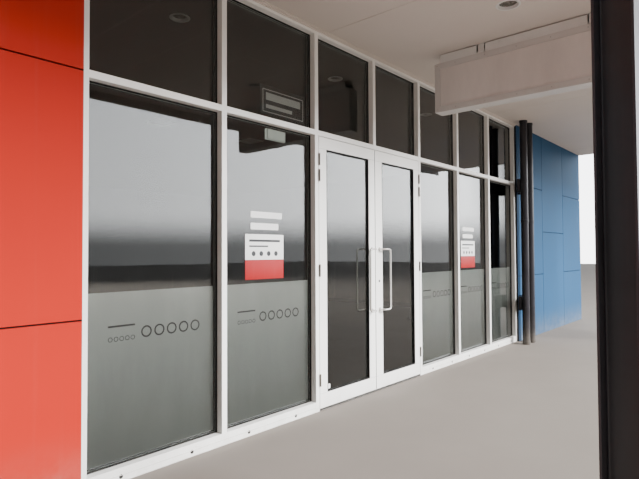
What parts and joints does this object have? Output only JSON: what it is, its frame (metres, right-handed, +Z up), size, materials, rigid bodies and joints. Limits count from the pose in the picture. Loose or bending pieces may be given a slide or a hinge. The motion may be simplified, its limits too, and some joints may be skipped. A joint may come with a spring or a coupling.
{
  "type": "shop building",
  "caption": "Single-storey shop with a glazed aluminium shopfront, swinging entrance doors, coloured panel walls and a street awning on steel posts.",
  "frame": {"origin": "on the ground, at the middle of the building's whole plan, awning included", "axes": "+X along the shopfront to the right as seen from the street, +Y into the building, +Z up"},
  "size_m": [13.76, 15.15, 4.783],
  "materials": {
    "wall_render": "painted render over concrete block",
    "floor_finish": "matt grey shop tiles",
    "orange_panel": "semi-gloss coated composite panel",
    "blue_panel": "semi-gloss coated composite panel",
    "pale_panel": "satin coated sheet",
    "white_frame": "white powder coat",
    "bare_aluminium": "mill finish, scuffed",
    "soffit_paint": "flat warm off-white paint on fibre cement",
    "glazing": "clear grey-green float glass",
    "hinge_bronze": "dark brown lacquer",
    "pull_steel": "satin stainless steel",
    "lock_metal": "dark satin",
    "ceiling_board": "flat white painted board",
    "light_rim": "white enamel",
    "exit_diffuser": "blank opal plastic",
    "charcoal_steel": "semi-gloss charcoal paint",
    "galvanised": "zinc coated",
    "roof_metal": "coated steel sheet",
    "sign_edge": "pale grey painted aluminium",
    "sign_skin": "blank opal acrylic, faded"
  },
  "bodies": {
    "building": {"shop_floor": "floor_finish", "left_party_wall": "wall_render", "right_party_wall": "wall_render", "rear_wall": "wall_render", "front_wall_left": "wall_render", "front_wall_right": "wall_render", "front_wall_over": "wall_render", "left_cladding": "orange_panel", "right_cladding": "blue_panel", "upper_cladding": "pale_panel", "shopfront_left": "white_frame", "shopfront_right": "white_frame", "shopfront_over_doors": "white_frame", "sub_sills": "white_frame", "door_threshold": "bare_aluminium", "head_trim": "soffit_paint", "shopfront_glass": "glazing", "jamb_hinges": "hinge_bronze", "shop_ceiling": "ceiling_board", "shop_downlights": "light_rim", "ceiling_lights": "light_rim", "exit_light": "exit_diffuser", "awning_posts": "charcoal_steel", "awning_beam": "charcoal_steel", "awning_rafters": "galvanised", "awning_soffit": "soffit_paint", "awning_fascia": "pale_panel", "awning_ends": "pale_panel", "awning_roof": "roof_metal", "awning_gutter": "galvanised", "awning_downlights": "light_rim", "sign_frame": "sign_edge", "sign_skins": "sign_skin", "sign_hangers": "light_rim", "front_downpipes": "charcoal_steel", "downpipe_brackets": "charcoal_steel", "roof_purlins": "galvanised", "roof_sheeting": "roof_metal", "rear_gutter": "charcoal_steel", "rear_downpipes": "charcoal_steel", "parapet_capping": "charcoal_steel"},
    "left_door": {"left_door": "white_frame", "left_door_glass": "glazing", "left_door_pulls": "pull_steel", "left_door_hinges": "hinge_bronze"},
    "right_door": {"right_door": "white_frame", "right_door_glass": "glazing", "right_door_pulls": "pull_steel", "right_door_hinges": "hinge_bronze", "right_door_lock": "lock_metal"}
  },
  "joints": [
    {"name": "left_door_hinge", "type": "hinge", "parent": "building", "child": "left_door", "pos_m": [-1.183, -4.5545, 1.2], "axis": [0, 0, -1], "range_deg": [0, 90]},
    {"name": "right_door_hinge", "type": "hinge", "parent": "building", "child": "right_door", "pos_m": [0.516, -4.5545, 1.2], "axis": [0, 0, 1], "range_deg": [0, 90]}
  ]
}
